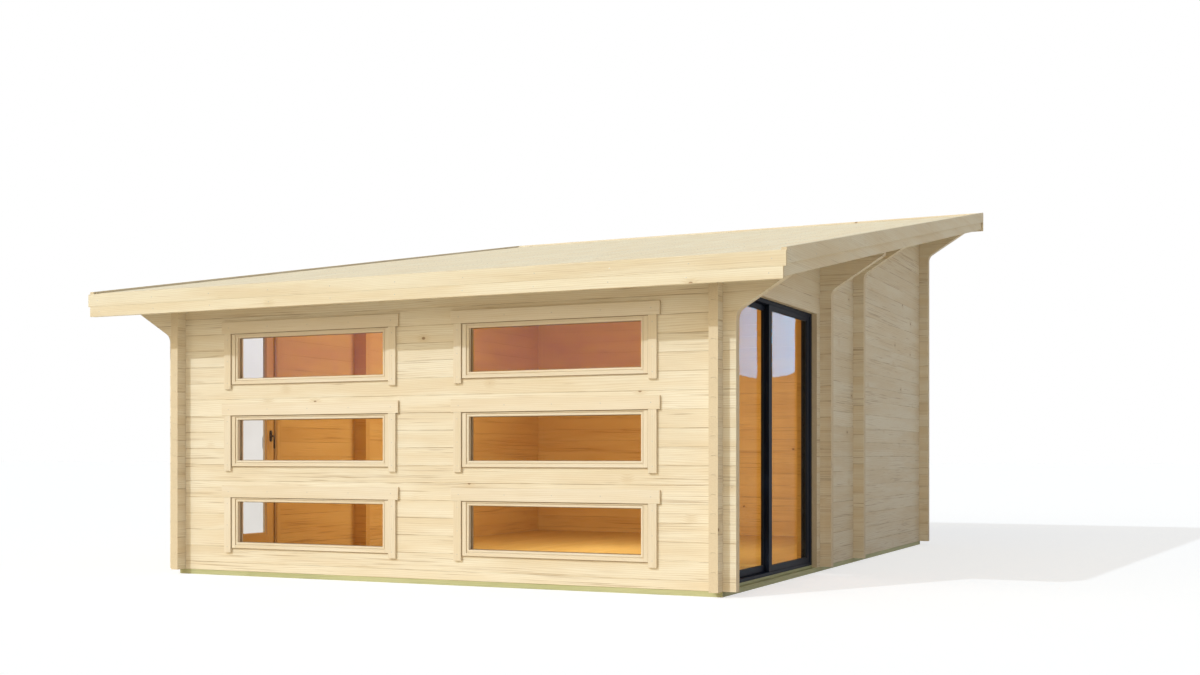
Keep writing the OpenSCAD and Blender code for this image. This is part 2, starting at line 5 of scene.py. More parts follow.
import bmesh
import bpy
from mathutils import Euler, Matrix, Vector


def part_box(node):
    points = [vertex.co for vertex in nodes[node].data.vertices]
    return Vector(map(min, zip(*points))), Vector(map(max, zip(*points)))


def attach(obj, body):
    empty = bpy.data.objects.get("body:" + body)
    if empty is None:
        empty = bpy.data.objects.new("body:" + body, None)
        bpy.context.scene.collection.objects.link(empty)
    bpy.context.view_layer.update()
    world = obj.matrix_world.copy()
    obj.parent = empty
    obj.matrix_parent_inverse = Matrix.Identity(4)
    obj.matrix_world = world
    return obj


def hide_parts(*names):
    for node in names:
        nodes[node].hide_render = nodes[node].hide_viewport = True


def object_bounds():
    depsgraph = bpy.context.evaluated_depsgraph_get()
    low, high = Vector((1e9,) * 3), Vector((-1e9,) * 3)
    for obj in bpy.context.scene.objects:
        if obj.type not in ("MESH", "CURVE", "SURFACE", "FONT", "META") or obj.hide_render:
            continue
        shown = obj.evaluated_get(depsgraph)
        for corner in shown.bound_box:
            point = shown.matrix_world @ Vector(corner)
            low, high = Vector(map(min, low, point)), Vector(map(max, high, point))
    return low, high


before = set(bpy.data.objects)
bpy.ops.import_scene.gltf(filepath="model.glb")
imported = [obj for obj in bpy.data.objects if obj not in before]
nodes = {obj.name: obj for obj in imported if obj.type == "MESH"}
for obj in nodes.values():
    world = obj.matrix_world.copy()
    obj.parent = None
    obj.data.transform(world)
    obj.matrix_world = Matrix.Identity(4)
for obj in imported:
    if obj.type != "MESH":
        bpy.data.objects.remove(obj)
cad_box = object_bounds()
rng = random.Random(11)

# Driving sizes of the part that the finishes repeat, in metres
COURSE = 0.137
WALL = 0.070
STEP_DEPTH = 0.010
KNUCKLE_R = 0.007
HINGE_PLATE_T = 0.005

# Sizes of what is added here, in metres
WELD = 0.00002
ROOM_EDGE = 0.006
FLOOR_SKIN = 0.001
END_REACH = 0.001
FACE_REACH = 0.01
# How far in from a log's edge the painted shade along its joint starts and is full
LOG_JOINT_SHADE = (0.0050, 0.0012)
TRIM_EASE = 0.002
FRAME_EASE = 0.0018
CASING_EASE = 0.0025
METAL_EASE = 0.0015
ROOF_BOARD = 0.096
FLOOR_BOARD = 0.094
BOARD_GAP = 0.0012
BOARD_GROOVE = 0.004
FLOOR_EASE = 0.0015
FLOOR_ROOM = 0.002
BEAD_W = 0.017
BEAD_RISE = 0.005
DOOR_BEAD_W = 0.012
DOOR_BEAD_SET = 0.005
DOOR_BEAD_LIFT = 0.0006
SEAL_LIFT = 0.0003
SEAL_RISE = 0.0045
SEAL_FALL = 0.0035
WINDOW_SEAL_W = 0.004
DOOR_SEAL_W = 0.006
# Width of the painted shadow ring round each window frame, and how far round a pane its frame bars are sought
SHADOW_LINE_W = 0.005
SHADOW_LINE_REACH = (0.02, 0.2, 0.02)
PLATE_W = 0.034
PLATE_H = 0.106
PLATE_T = 0.008
LEVER_R = 0.008
NAIL_STEP = 0.027
NAIL_STRAY = 0.006
HINGE_SCREW_IN = 0.010
WIDE_BOARD = 0.15
BARGE_SCREW_IN = 0.024
DOOR_CASING_SCREWS = (0.12, 0.62)

# Radius and rise of the heads of nails and screws, in metres
NAIL = (0.0045, 0.0012)
TRIM_SCREW = (0.0042, 0.0007)
CASING_SCREW = (0.0038, 0.0007)
PLATE_SCREW = (0.0035, 0.0008)
HINGE_SCREW = (0.0042, 0.0009)

# Refraction of the panes, low because one sheet stands for all the faces of double glazing
WINDOW_IOR = 1.13
SLIDING_IOR = 1.045

# Camera at the photograph's viewing angle, in metres and degrees
CAMERA_PLACE = (5.826, -12.734, 1.0)
CAMERA_TURN = 24.82
CAMERA_LENS = 41.88
CAMERA_SHIFT_Y = 0.0991
SENSOR = 36.0

# Light: a hard sun, a broad soft light from the front, a pale sky, lamps in the room by their share of its depth
# and power, and two far patches of blue sky for the panes to mirror
SUN_FROM = (-0.40, -0.75, 0.60)
SUN_STRENGTH = 1.52
SUN_ANGLE = 0.012
SUN_COLOUR = (0.85, 0.95, 1.0)
FILL_FROM = (-0.3, -1.0, 0.3)
FILL_STRENGTH = 1.75
FILL_COLOUR = (1.0, 0.815, 0.48)
FILL_ANGLE = 1.4
SKY_STRENGTH = 0.355
SKY_COLOUR = (0.93, 0.97, 1.0)
ROOM_LAMPS = dict(room_lamp=(0.5, 108.0), front_room_lamp=(0.2, 16.0))
ROOM_LAMP_SIZE = 0.6
ROOM_LAMP_HEIGHT = 1.4
DOOR_SKY = dict(place=(16.2, 40.0, 10.05), aim=(2.3, -2.0, 1.8), size=(9.0, 12.0), power=6000.0,
                colour=(0.05, 0.55, 1.0))
FRONT_SKY = dict(place=(-23.5, -43.0, 5.6), aim=(-0.2, -3.3, 1.9), size=(24.0, 4.4), power=3000.0,
                 colour=(0.02, 0.13, 1.0))
WHITE = (1.0, 1.0, 1.0)
FLOOR_SIZE = 400.0
FLOOR_DROP = 0.0005
FLOOR_COLOUR = (0.93, 0.84, 0.67)
FLOOR_SHADE = (0.47, 0.48, 0.505)
FLOOR_GLOW = 0.64

# Wood tones, linear: pale early wood, warm mid tone, late wood lines, dark streaks, knots
SPRUCE = dict(pale=(0.83, 0.775, 0.665), mid=(0.75, 0.65, 0.50), line=(0.56, 0.41, 0.23),
              streak=(0.34, 0.215, 0.105), knot=(0.25, 0.14, 0.07), streaks=0.95, knots=0.15)
JOINERY = dict(pale=(0.788, 0.715, 0.61), mid=(0.732, 0.631, 0.485), line=(0.604, 0.472, 0.32),
               streak=(0.485, 0.355, 0.205), knot=(0.33, 0.20, 0.10), streaks=0.30, knots=0.0)
BOARDING = dict(pale=(0.81, 0.745, 0.61), mid=(0.74, 0.633, 0.465), line=(0.58, 0.44, 0.255),
                streak=(0.388, 0.258, 0.14), knot=(0.27, 0.15, 0.075), streaks=0.45, knots=0.18)
# Roof boards' tone, made paler than the other boarding to stand in for the stronger sun on the roof: painted light
ROOFING_PAINTED_LIGHT = dict(pale=(0.91, 0.84, 0.66), mid=(0.86, 0.74, 0.525), line=(0.66, 0.51, 0.31),
               streak=(0.46, 0.32, 0.18), knot=(0.32, 0.19, 0.10), streaks=0.25, knots=0.10)
FLOORING = dict(pale=(0.70, 0.485, 0.15), mid=(0.61, 0.40, 0.105), line=(0.45, 0.265, 0.07),
                streak=(0.33, 0.17, 0.05), knot=(0.22, 0.10, 0.03), streaks=0.45, knots=0.25)
TREATED = dict(pale=(0.56, 0.56, 0.34), mid=(0.45, 0.46, 0.25), line=(0.30, 0.31, 0.15),
               streak=(0.20, 0.20, 0.09), knot=(0.16, 0.12, 0.05), streaks=0.5, knots=0.2)

# Painted warm shade on every wood face that looks into the room, standing in for the room's dim, warm light
INDOOR_PAINTED_SHADE = (0.97, 0.685, 0.245)


class Graph:
    """Short names for making and linking the shader nodes of one material."""

    def __init__(self, name):
        self.material = bpy.data.materials.new(name)
        self.material.use_nodes = True
        self.tree = self.material.node_tree
        self.shader = self.tree.nodes["Principled BSDF"]

    def new(self, kind, **values):
        node = self.tree.nodes.new(kind)
        for name, value in values.items():
            self.put(node.inputs[name.replace("_", " ")], value)
        return node

    def put(self, socket, value):
        if isinstance(value, bpy.types.NodeSocket):
            self.tree.links.new(value, socket)
        elif socket.type == "RGBA":
            socket.default_value = (*value, 1.0)
        else:
            socket.default_value = value

    def set(self, **values):
        for name, value in values.items():
            self.put(self.shader.inputs[name.replace("_", " ")], value)

    def math(self, operation, *values, clamp=False):
        node = self.tree.nodes.new("ShaderNodeMath")
        node.operation = operation
        node.use_clamp = clamp
        for socket, value in zip(node.inputs, values):
            self.put(socket, value)
        return node.outputs[0]

    def vector(self, operation, *values):
        node = self.tree.nodes.new("ShaderNodeVectorMath")
        node.operation = operation
        for socket, value in zip(node.inputs, values):
            self.put(socket, value)
        return node.outputs["Vector"]

    def split(self, vector):
        return self.new("ShaderNodeSeparateXYZ", Vector=vector).outputs

    def combine(self, x, y, z):
        return self.new("ShaderNodeCombineXYZ", X=x, Y=y, Z=z).outputs[0]

    def noise(self, place, stretch, detail=2.0, rough=0.5, twist=0.0):
        node = self.new("ShaderNodeTexNoise", Vector=self.vector("MULTIPLY", place, stretch), Scale=1.0,
                        Detail=detail, Roughness=rough, Distortion=twist)
        return node.outputs["Fac"]

    def smooth(self, value, low, high, start=0.0, end=1.0):
        node = self.new("ShaderNodeMapRange", Value=value, From_Min=low, From_Max=high, To_Min=start, To_Max=end)
        node.interpolation_type = "SMOOTHSTEP"
        return node.outputs["Result"]

    def mix(self, factor, first, second, blend="MIX"):
        node = self.tree.nodes.new("ShaderNodeMix")
        node.data_type = "RGBA"
        node.blend_type = blend
        for index, value in ((0, factor), (6, first), (7, second)):
            self.put(node.inputs[index], value)
        return node.outputs[2]

    def bump(self, height, strength, distance):
        node = self.new("ShaderNodeBump", Height=height, Strength=strength, Distance=distance)
        self.set(Normal=node.outputs["Normal"])


def indoors(g, coords):
    """One on the faces that look into the room, between floor and roof, and zero outdoors."""
    x, y, z = g.split(coords.outputs["Object"])
    normal_x = g.split(coords.outputs["Normal"])[0]
    low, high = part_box("floor_boards")
    middle = (low.y + high.y) / 2
    half = (high.y - low.y) / 2
    inward = g.math("LESS_THAN", g.math("MULTIPLY", g.math("SIGN", x), normal_x), -0.5)
    reach = g.math("MULTIPLY_ADD", inward, WALL, -low.x + ROOM_EDGE)
    within_x = g.math("LESS_THAN", g.math("ABSOLUTE", x), reach)
    within_y = g.math("LESS_THAN", g.math("ABSOLUTE", g.math("SUBTRACT", y, middle)), half + ROOM_EDGE)
    above = g.math("GREATER_THAN", z, high.z + FLOOR_SKIN)
    front, back = [corner.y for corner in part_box("roof_boards")]
    front_z, back_z = [sum(edge_heights("roof_boards", end)) / 2 for end in (front, back)]
    slope = (back_z - front_z) / (back - front)
    below = g.math("LESS_THAN", z, g.math("MULTIPLY_ADD", y, slope, front_z - slope * front))
    return g.math("MULTIPLY", g.math("MULTIPLY", within_x, within_y), g.math("MULTIPLY", above, below))


def wood(name, tone, grain, cell=None, heart=0.0):
    """Planed softwood with its fibres along one axis; cell=(start, pitch) tells stacked logs apart by height."""
    g = Graph(name)
    coords = g.new("ShaderNodeTexCoord")
    x, y, z = g.split(coords.outputs["Object"])
    u, v, w = {"X": (x, z, y), "Y": (y, z, x), "Z": (z, x, y)}[grain]
    if cell:
        start, pitch = cell
        step = g.math("DIVIDE", g.math("SUBTRACT", v, start), pitch)
        which = g.math("FLOOR", step)
        across = g.math("MULTIPLY", g.math("SUBTRACT", g.math("FRACT", step), 0.5), pitch)
    else:
        which = g.math("MULTIPLY", g.new("ShaderNodeNewGeometry").outputs["Random Per Island"], 977.0)
        across = v
    chance = g.new("ShaderNodeTexWhiteNoise")
    chance.noise_dimensions = "1D"
    g.put(chance.inputs["W"], which)
    luck = chance.outputs["Color"]
    luck_1, luck_2, luck_3 = g.split(luck)
    place = g.vector("ADD", g.combine(u, v, w), g.vector("MULTIPLY", luck, (23.0, 17.0, 19.0)))

    knot_cell = g.new("ShaderNodeTexVoronoi", Vector=g.vector("MULTIPLY", place, (4.2, 6.0, 6.0)), Scale=1.0,
                      Randomness=1.0)
    present = g.math("LESS_THAN", g.split(knot_cell.outputs["Color"])[0], tone["knots"])
    nearness = knot_cell.outputs["Distance"]
    knot = g.math("MULTIPLY", present, g.smooth(nearness, 0.085, 0.05))
    halo = g.math("MULTIPLY", present, g.smooth(nearness, 0.34, 0.07))

    drift = g.noise(place, (0.55, 4.0, 4.0), detail=2.0)
    phase = g.math("ADD", g.math("MULTIPLY", g.math("ADD", v, g.math("MULTIPLY", w, 0.4)), 430.0),
                   g.math("ADD", g.math("MULTIPLY", drift, 52.0), g.math("MULTIPLY", halo, 7.0)))
    rings = g.math("MULTIPLY_ADD", g.math("SINE", phase), 0.5, 0.5)
    rings = g.math("POWER", rings, 2.2)
    fibres = g.noise(place, (7.0, 420.0, 420.0), detail=3.0, rough=0.6)
    broad = g.noise(place, (0.8, 7.0, 7.0), detail=3.0, rough=0.55)
    patches = g.smooth(g.noise(place, (0.7, 4.0, 4.0), detail=1.0), 0.38, 0.64)
    thin = g.smooth(g.noise(place, (1.6, 110.0, 110.0), detail=2.0, twist=0.1), 0.54, 0.70)
    dashes = g.smooth(g.noise(place, (1.7, 72.0, 72.0), detail=2.0, rough=0.5), 0.655, 0.77)
    streaks = g.math("MULTIPLY_ADD", g.math("MULTIPLY", thin, patches), 0.55, g.math("MULTIPLY", dashes, 0.7))
    streaks = g.math("MULTIPLY", g.math("MINIMUM", streaks, 1.0), tone["streaks"])
    if cell:
        # Painted shade along the joints between stacked logs, in patches; it joins the streaks and takes their dark
        # colour
        joint_shade = g.smooth(g.math("ABSOLUTE", across), pitch / 2 - LOG_JOINT_SHADE[0], pitch / 2 - LOG_JOINT_SHADE[1])
        joint_shade_patches = g.smooth(g.noise(place, (2.4, 3.0, 3.0), detail=2.0), 0.46, 0.62, 0.0, 0.62)
        streaks = g.math("MAXIMUM", streaks, g.math("MULTIPLY", joint_shade, joint_shade_patches))

    side = g.mix(g.smooth(broad, 0.30, 0.72), tone["pale"], tone["mid"])
    side = g.mix(g.math("MULTIPLY", rings, 0.24), side, tone["line"])
    side = g.mix(g.math("MULTIPLY", g.smooth(fibres, 0.42, 0.75), 0.16), side, tone["line"])
    side = g.mix(streaks, side, tone["streak"])
    side = g.mix(g.math("MULTIPLY", halo, 0.28), side, tone["line"])
    side = g.mix(g.math("MULTIPLY", knot, 0.85), side, tone["knot"])

    off_1 = g.math("MULTIPLY_ADD", luck_1, 0.06, g.math("SUBTRACT", w, heart + 0.03))
    off_2 = g.math("MULTIPLY_ADD", luck_2, 0.10, g.math("SUBTRACT", across, 0.05))
    radius = g.math("SQRT", g.math("ADD", g.math("MULTIPLY", off_1, off_1), g.math("MULTIPLY", off_2, off_2)))
    wander = g.math("MULTIPLY", g.noise(place, (30.0, 30.0, 30.0), detail=1.0), 5.0)
    year = g.math("MULTIPLY_ADD", g.math("SINE", g.math("MULTIPLY_ADD", radius, 1300.0, wander)), 0.5, 0.5)
    end = g.mix(g.math("MULTIPLY", year, 0.45), tone["mid"], tone["line"])
    pores = g.noise(place, (260.0, 260.0, 260.0), detail=2.0)
    end = g.mix(g.smooth(pores, 0.45, 0.8, 0.0, 0.35), end, tone["streak"])
    facing = g.math("ABSOLUTE", g.split(coords.outputs["Normal"])["XYZ".index(grain)])
    is_end = g.smooth(facing, 0.80, 0.92)
    colour = g.mix(is_end, side, end)
    colour = g.mix(g.math("MULTIPLY", luck_3, 0.06), colour, (1.0, 0.86, 0.66), blend="MULTIPLY")
    level = g.math("MULTIPLY_ADD", luck_2, 0.04, 0.97)
    colour = g.mix(1.0, colour, g.combine(level, level, level), blend="MULTIPLY")
    # Painted shade: faces that look into the room turn darker and more orange, for the room's dim warm light
    colour = g.mix(indoors(g, coords), colour, INDOOR_PAINTED_SHADE, blend="MULTIPLY")

    g.set(Base_Color=colour, Specular_IOR_Level=0.32)
    g.set(Roughness=g.math("MULTIPLY_ADD", fibres, 0.22, g.math("MULTIPLY_ADD", rings, -0.08, 0.52)))
    relief = g.math("ADD", g.math("MULTIPLY", fibres, 0.7), g.math("MULTIPLY", rings, 0.5))
    sunk = g.math("ADD", g.math("MULTIPLY", streaks, 0.8), g.math("MULTIPLY", knot, 0.6))
    relief = g.math("SUBTRACT", relief, sunk)
    g.bump(relief, 0.28, 0.0012)
    return g.material


def glazing(name, ior, thin_film, thick_film):
    """Clear glass with a faint tinted film on it, which lets light from lamps into the room; in the sliding panes the
    olive film is a painted reflection of greenery.
    """
    g = Graph(name)
    place = g.new("ShaderNodeTexCoord").outputs["Object"]
    film = g.noise(place, (2.0, 2.0, 1.4), detail=3.0)
    g.set(Base_Color=g.mix(g.smooth(film, 0.35, 0.7), thick_film, thin_film))
    g.set(Transmission_Weight=1.0, Roughness=0.0, IOR=ior)
    path = g.new("ShaderNodeLightPath")
    lit = g.math("MAXIMUM", path.outputs["Is Shadow Ray"], path.outputs["Is Diffuse Ray"])
    clear = g.new("ShaderNodeBsdfTransparent", Color=(0.88, 0.86, 0.84))
    mixed = g.new("ShaderNodeMixShader")
    for socket, value in zip(mixed.inputs, (lit, g.shader.outputs[0], clear.outputs[0])):
        g.put(socket, value)
    g.put(g.tree.nodes["Material Output"].inputs["Surface"], mixed.outputs[0])
    return g.material


def powder_coat(name, colour, worn, roughness):
    """Fine-textured paint on metal with a little dust in its broad patches."""
    g = Graph(name)
    place = g.new("ShaderNodeTexCoord").outputs["Object"]
    grit = g.noise(place, (900.0, 900.0, 900.0), detail=2.0)
    dust = g.noise(place, (3.0, 3.0, 3.0), detail=4.0, rough=0.6)
    g.set(Base_Color=g.mix(g.smooth(dust, 0.35, 0.8), colour, worn))
    g.set(Roughness=g.math("MULTIPLY_ADD", grit, 0.14, g.math("MULTIPLY_ADD", dust, 0.10, roughness - 0.12)))
    g.set(Specular_IOR_Level=0.08)
    g.bump(grit, 0.12, 0.0003)
    return g.material


def rubber(name, dark, pale):
    """Soft seal with a fine grit; the brown kind also draws painted shadow lines round the windows."""
    g = Graph(name)
    place = g.new("ShaderNodeTexCoord").outputs["Object"]
    grit = g.noise(place, (500.0, 500.0, 500.0), detail=1.0)
    g.set(Base_Color=g.mix(grit, dark, pale), Specular_IOR_Level=0.3)
    g.set(Roughness=g.math("MULTIPLY_ADD", grit, 0.2, 0.55))
    return g.material


def zinc():
    """Bright zinc with a fine spangle, for nails and screws."""
    g = Graph("zinc_screws")
    place = g.new("ShaderNodeTexCoord").outputs["Object"]
    spangle = g.noise(place, (700.0, 700.0, 700.0), detail=2.0)
    g.set(Base_Color=g.mix(spangle, (0.42, 0.41, 0.38), (0.62, 0.60, 0.55)), Metallic=1.0)
    g.set(Roughness=g.math("MULTIPLY_ADD", spangle, 0.2, 0.32))
    return g.material


def circle(centre, axis, radius, sides, hint=(0.3, 0.5, 0.81)):
    """Points round an axis; hint is a direction that the axis never takes."""
    side = axis.cross(Vector(hint)).normalized()
    lift = axis.cross(side)
    turns = [math.tau * k / sides for k in range(sides)]
    return [centre + (side * math.cos(t) + lift * math.sin(t)) * radius for t in turns]


class Maker:
    """Collects the faces of one new piece, each with the number of its material."""

    def __init__(self):
        self.mesh = bmesh.new()

    def loops(self, rings, material=0, closed=False, materials=None):
        """Skins rings of points; each ring has the same count, and materials names one per side of a ring."""
        made = [[self.mesh.verts.new(p) for p in ring] for ring in rings]
        count = len(made[0])
        pairs = list(zip(made, made[1:] + made[:1])) if closed else list(zip(made, made[1:]))
        for first, second in pairs:
            for i in range(count):
                j = (i + 1) % count
                face = self.mesh.faces.new((first[i], first[j], second[j], second[i]))
                face.material_index = materials[i] if materials else material
        if not closed:
            for ring in (made[0][::-1], made[-1]):
                self.mesh.faces.new(ring).material_index = material

    def frame_ring(self, low, high, across, profile, materials=(0, 1)):
        """A mitred ring round a rectangle; profile holds (inset, depth), across is the depth axis, 0 or 1."""
        along = 1 - across
        rings = []
        for inset, depth in profile:
            corners = []
            for a, z in ((low[along] + inset, low[2] + inset), (high[along] - inset, low[2] + inset),
                         (high[along] - inset, high[2] - inset), (low[along] + inset, high[2] - inset)):
                point = [0.0, 0.0, z]
                point[along] = a
                point[across] = depth
                corners.append(point)
            rings.append(corners)
        flat, upright = materials
        self.loops(rings, closed=True, materials=(flat, upright, flat, upright))

    def tube(self, path, radius, sides, dome=True):
        """A round bar along a path, with rounded ends."""
        path = [Vector(p) for p in path]
        radii = [radius] * len(path)
        if dome:
            for end, inner in ((0, 1), (-1, -2)):
                way = (path[inner] - path[end]).normalized()
                tip = path[end]
                caps = [(tip + way * radius * (1 - math.cos(t)), radius * math.sin(t))
                        for t in (0.2, 0.6, 1.05, math.pi / 2)]
                if end == 0:
                    path = [c[0] for c in caps] + path[1:]
                    radii = [c[1] for c in caps] + radii[1:]
                else:
                    path = path[:-1] + [c[0] for c in caps[::-1]]
                    radii = radii[:-1] + [c[1] for c in caps[::-1]]
        rings = []
        for i, point in enumerate(path):
            way = (path[min(i + 1, len(path) - 1)] - path[max(i - 1, 0)]).normalized()
            rings.append(circle(point, way, radii[i], sides, hint=(0.31, 0.17, 0.93)))
        self.loops(rings)

    def turned(self, centre, axis, profile):
        """A round piece turned about an axis; profile holds (height along the axis, radius)."""
        axis = Vector(axis)
        self.loops([circle(Vector(centre) + axis * height, axis, radius, 24) for height, radius in profile])

    def stud(self, centre, normal, radius, rise, sides=12, material=0):
        """A shallow domed screw or nail head."""
        normal = Vector(normal)
        profile = ((1.0, -0.3), (1.0, 0.35), (0.8, 0.8), (0.35, 1.0))
        self.loops([circle(Vector(centre) + normal * rise * height, normal, radius * share, sides)
                    for share, height in profile], material)

    def build(self, name, materials, body, stands_for=(), smooth=False):
        bmesh.ops.recalc_face_normals(self.mesh, faces=self.mesh.faces)
        piece(name, self.mesh, materials, body, stands_for, smooth)


def added(name, data):
    """A new object in the scene."""
    made = bpy.data.objects.new(name, data)
    bpy.context.scene.collection.objects.link(made)
    return made


def soften(mesh, width):
    """Eases the sharp edges of a mesh."""
    sharp = [e for e in mesh.edges if len(e.link_faces) == 2 and e.calc_face_angle() > math.radians(30)]
    bmesh.ops.bevel(mesh, geom=sharp, offset=width, segments=2, profile=0.6, affect="EDGES", clamp_overlap=True)


def piece(name, mesh, materials, body, stands_for=(), smooth=False):
    """Makes an object of a mesh, on a body, in place of the CAD nodes that it stands for."""
    data = bpy.data.meshes.new(name)
    mesh.to_mesh(data)
    mesh.free()
    data.polygons.foreach_set("use_smooth", [smooth] * len(data.polygons))
    made = added(name, data)
    for material in materials:
        data.materials.append(material)
    if smooth:
        data.set_sharp_from_angle(angle=math.radians(35))
    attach(made, body)
    if stands_for:
        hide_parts(*stands_for)


def welded(node):
    """The mesh of a CAD node, copied, with its split corners joined and its flat faces whole."""
    mesh = bmesh.new()
    mesh.from_mesh(nodes[node].data)
    bmesh.ops.remove_doubles(mesh, verts=mesh.verts, dist=WELD)
    bmesh.ops.dissolve_limit(mesh, angle_limit=math.radians(0.5), verts=mesh.verts, edges=mesh.edges)
    return mesh


def islands(mesh):
    """The connected groups of faces of a mesh."""
    left = set(mesh.faces)
    found = []
    while left:
        group = []
        queue = [left.pop()]
        while queue:
            face = queue.pop()
            group.append(face)
            for edge in face.edges:
                for other in edge.link_faces:
                    if other in left:
                        left.discard(other)
                        queue.append(other)
        found.append(group)
    return found


def span(faces):
    """The box round a group of faces."""
    points = [v.co for f in faces for v in f.verts]
    low = Vector([min(p[i] for p in points) for i in range(3)])
    high = Vector([max(p[i] for p in points) for i in range(3)])
    return low, high


def solids(node):
    """The boxes of the separate solids in a CAD node, lowest first."""
    mesh = welded(node)
    boxes = [span(group) for group in islands(mesh)]
    mesh.free()
    return sorted(boxes, key=lambda b: (round(b[0].z, 3), round(b[0].x, 3), round(b[0].y, 3)))


def dressed(node, name, materials, body, ease):
    """A copy of a CAD node with eased edges; each bar takes the material whose grain runs along it."""
    mesh = welded(node)
    for group in islands(mesh):
        low, high = span(group)
        size = high - low
        longest = max(range(3), key=lambda i: size[i])
        for face in group:
            face.material_index = longest if len(materials) == 3 else 0
    soften(mesh, ease)
    piece(name, mesh, materials, body, (node,))


def edge_heights(node, y):
    """The lowest and highest point of a node at one of its ends."""
    heights = [v.co.z for v in nodes[node].data.vertices if abs(v.co.y - y) < END_REACH]
    return min(heights), max(heights)


def paint(node, material):
    """Gives a CAD node one material."""
    slots = nodes[node].data.materials
    slots.clear()
    slots.append(material)


# Finishes
beam_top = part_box("front_foundation_beam")[1].z
x_cell = (beam_top + COURSE / 2, COURSE)
y_cell = (beam_top, COURSE)
window_glass = glazing("window_glass", WINDOW_IOR, (0.90, 0.885, 0.865), (0.86, 0.84, 0.815))
# The sliding panes' olive film stands in for mirrored trees and meadow: painted reflection
door_glass_painted_reflection = glazing("sliding_door_glass", SLIDING_IOR, (0.945, 0.98, 0.885), (0.905, 0.94, 0.845))
aluminium = powder_coat("dark_aluminium", (0.006, 0.0095, 0.020), (0.011, 0.016, 0.029), 0.52)
black = powder_coat("black_metal", (0.010, 0.010, 0.011), (0.022, 0.022, 0.023), 0.38)
bronze = powder_coat("dark_bronze", (0.045, 0.031, 0.022), (0.070, 0.050, 0.036), 0.40)
seal = rubber("seal_rubber", (0.012, 0.012, 0.013), (0.03, 0.03, 0.031))
# Brown sealant, dark enough to draw painted shadow lines round the window frames and glass
sealant_and_painted_shadow = rubber("brown_sealant_painted_shadow", (0.22, 0.142, 0.075), (0.28, 0.185, 0.10))
screw = zinc()
joinery = [wood("joinery_" + axis.lower(), JOINERY, axis) for axis in "XYZ"]
trim_x = wood("trim_x", BOARDING, "X")
trim_y = wood("trim_y", BOARDING, "Y")
roof_wood_painted_light = wood("roof_boarding", ROOFING_PAINTED_LIGHT, "Y")
floor_wood = wood("floor_boarding", FLOORING, "Y")
sill_wood = wood("door_sill", TREATED, "Y")

LOGS_ALONG_X = ("front_wall", "back_wall", "left_front_cross_logs", "left_rear_cross_logs",
                "right_front_cross_logs", "right_rear_cross_logs", "front_cross_beam", "rear_cross_beam", "purlins")
for node in LOGS_ALONG_X:
    low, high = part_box(node)
    paint(node, wood("logs_" + node, SPRUCE, "X", x_cell, (low.y + high.y) / 2))
for node in ("left_wall", "right_wall"):
    low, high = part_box(node)
    paint(node, wood("logs_" + node, SPRUCE, "Y", y_cell, (low.x + high.x) / 2))
for node in ("front_foundation_beam", "back_foundation_beam", "floor_joists"):
    paint(node, wood("treated_" + node, TREATED, "X", (0.0, beam_top)))
for node in ("left_foundation_beam", "right_foundation_beam"):
    paint(node, wood("treated_" + node, TREATED, "Y", (0.0, beam_top)))
WINDOW_PANES = ("left_window_glass", "right_window_glass", "entrance_glass")
DOOR_PANES = ("fixed_panel_glass", "sliding_panel_glass")
for node in WINDOW_PANES:
    paint(node, window_glass)
for node in DOOR_PANES:
    paint(node, door_glass_painted_reflection)
for node in ("entrance_frame_hinges", "entrance_leaf_hinges"):
    paint(node, black)

# Trim boards with eased edges
for edge, wood_of_edge in (("front_fascia", trim_x), ("back_fascia", trim_x),
                           ("left_bargeboard", trim_y), ("right_bargeboard", trim_y)):
    for node in (edge, edge + "_strip"):
        dressed(node, node + "_board", [wood_of_edge], "cabin", TRIM_EASE)
for side in ("left", "right"):
    dressed(side + "_window_frames", side + "_window_bars", joinery, "cabin", FRAME_EASE)
    dressed(side + "_window_casing", side + "_window_boards", joinery, "cabin", CASING_EASE)
dressed("entrance_frame", "entrance_frame_bars", joinery, "cabin", FRAME_EASE)
dressed("entrance_casing", "entrance_casing_boards", joinery, "cabin", CASING_EASE)
dressed("entrance_leaf", "entrance_leaf_bars", joinery, "entrance_door", TRIM_EASE)
dressed("sliding_door_frame", "sliding_frame_bars", [aluminium], "cabin", METAL_EASE)
dressed("fixed_panel", "fixed_panel_bars", [aluminium], "cabin", METAL_EASE)
dressed("sliding_panel", "sliding_panel_bars", [aluminium], "sliding_panel", METAL_EASE)


def board_section(width, thick, groove):
    """Outline of a board from its lower edge: a V along both lower edges."""
    half = width / 2
    return [(-half + groove, 0.0), (half - groove, 0.0), (half, groove), (half, thick), (-half, thick),
            (-half, groove)]


